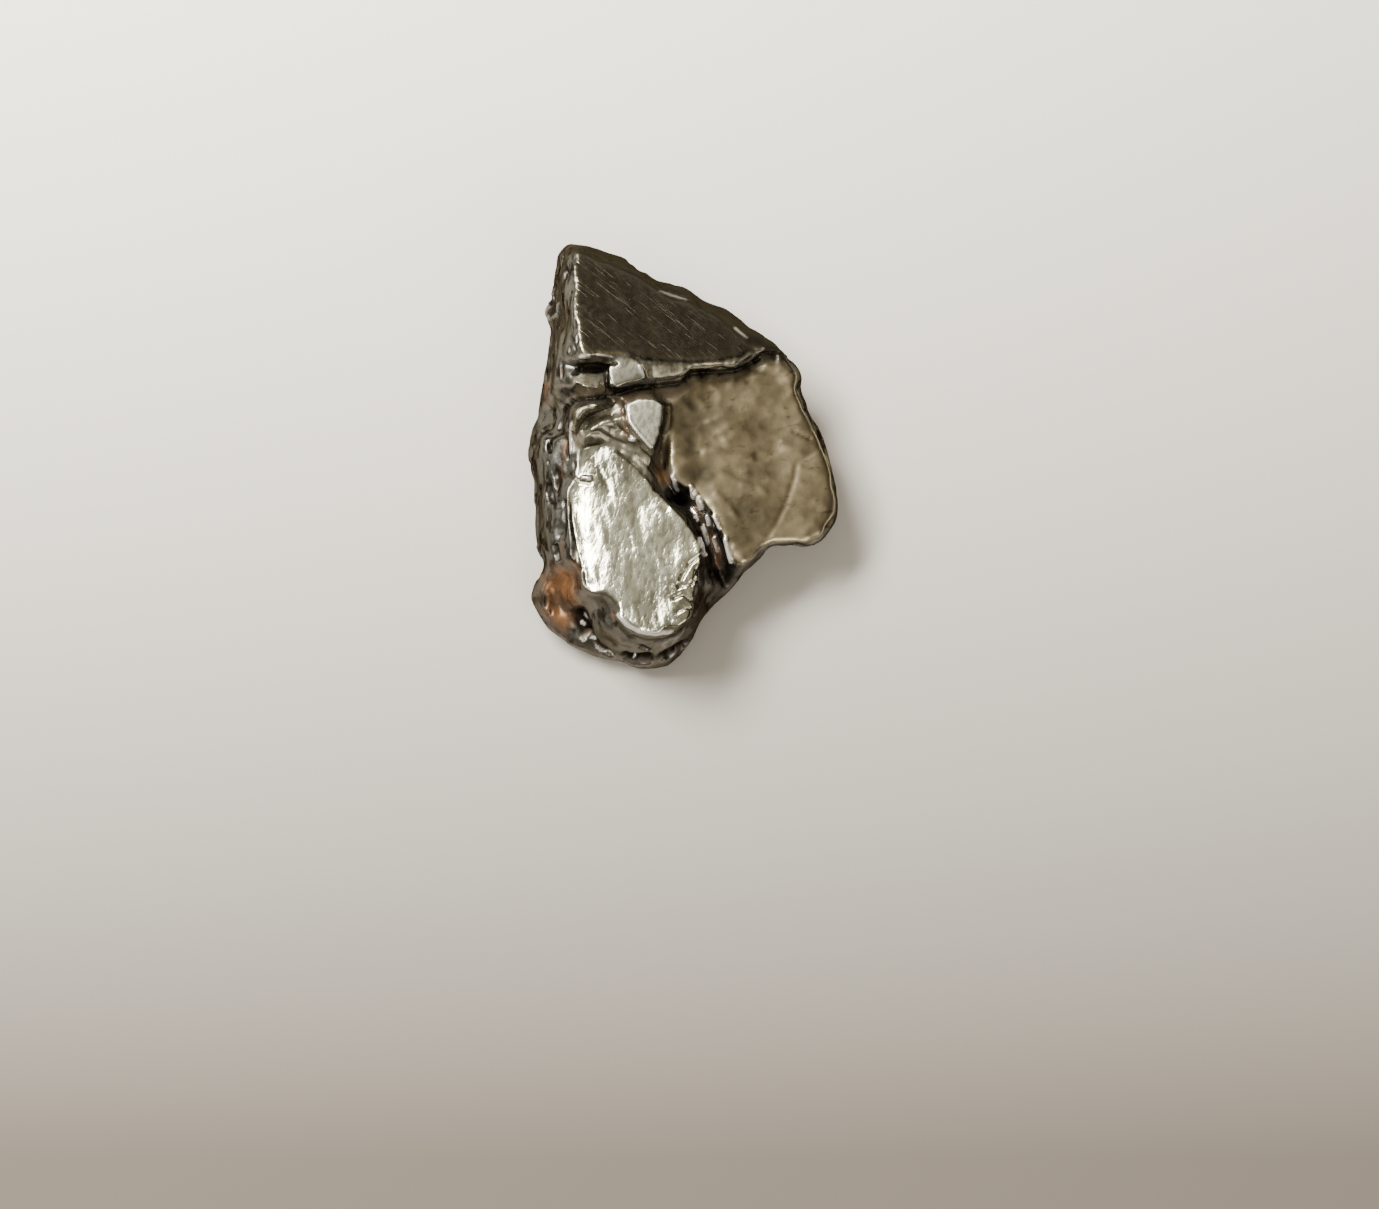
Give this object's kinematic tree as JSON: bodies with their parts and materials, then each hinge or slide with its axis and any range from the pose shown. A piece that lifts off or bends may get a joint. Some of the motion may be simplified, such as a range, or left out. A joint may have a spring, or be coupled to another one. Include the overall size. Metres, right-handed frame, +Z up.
{
  "type": "iron meteorite",
  "caption": "Small cleaned iron meteorite, a flat-topped angular lump of metal with a crack, a ravine and pitted walls, resting on a worn flat patch.",
  "frame": {"origin": "centre of the bounding box in plan, on the ground plane that the worn patch rests on", "axes": "+Y along the lump's length towards its pointed end, +Z up from the resting patch, +X towards the plateau"},
  "size_m": [0.025, 0.0342, 0.0117],
  "materials": {
    "meteoritic_iron": "bare nickel-iron, polished by handling on its facets, dull brown and coppery in the pits"
  },
  "bodies": {
    "root": {"meteorite": "meteoritic_iron"}
  },
  "joints": []
}
